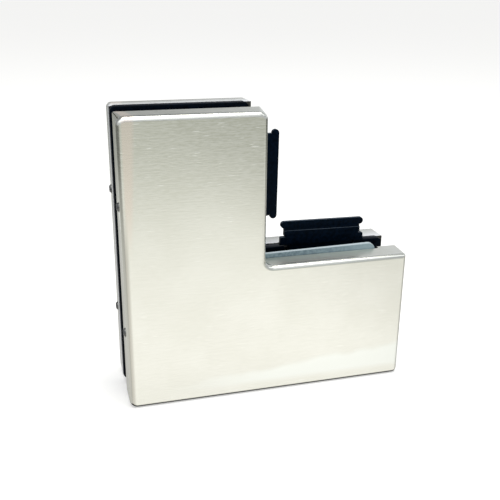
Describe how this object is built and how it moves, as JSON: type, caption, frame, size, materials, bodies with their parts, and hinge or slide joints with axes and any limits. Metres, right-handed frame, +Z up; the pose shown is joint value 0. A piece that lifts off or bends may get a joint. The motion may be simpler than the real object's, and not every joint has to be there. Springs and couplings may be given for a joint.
{
  "type": "transom patch fitting",
  "caption": "L-shaped glass clamp for a transom: two folded metal covers over cast halves, with gaskets, packing and black T-headed edge inserts.",
  "frame": {"origin": "centre of the whole part's box in X and Y, on the surface that it stands on", "axes": "+Z up along the side leg, +X along the lower leg away from the outer corner, front face towards -Y"},
  "size_m": [0.1076, 0.033, 0.1073],
  "materials": {
    "brushed_stainless": "brushed stainless steel, grain along the lower leg",
    "black_casting": "black coated die casting",
    "grey_gasket": "matt grey-blue fibre rubber",
    "black_gasket": "matt black rubber",
    "black_plate": "black moulded nylon",
    "black_insert": "black moulded nylon, satin",
    "black_sleeve": "black moulded nylon",
    "zinc_screw": "bright zinc plated steel",
    "stainless_screw": "plain stainless steel"
  },
  "bodies": {
    "root": {"front_cover": "brushed_stainless", "rear_cover": "brushed_stainless", "front_clamp_body": "black_casting", "rear_clamp_body": "black_casting", "front_gasket": "grey_gasket", "rear_gasket": "black_gasket", "packing_plate": "black_plate", "lower_insert": "black_insert", "side_insert": "black_insert", "clamp_screws": "zinc_screw", "cover_screws": "stainless_screw", "screw_sleeve_1": "black_sleeve", "screw_sleeve_2": "black_sleeve", "screw_sleeve_3": "black_sleeve"}
  },
  "joints": []
}
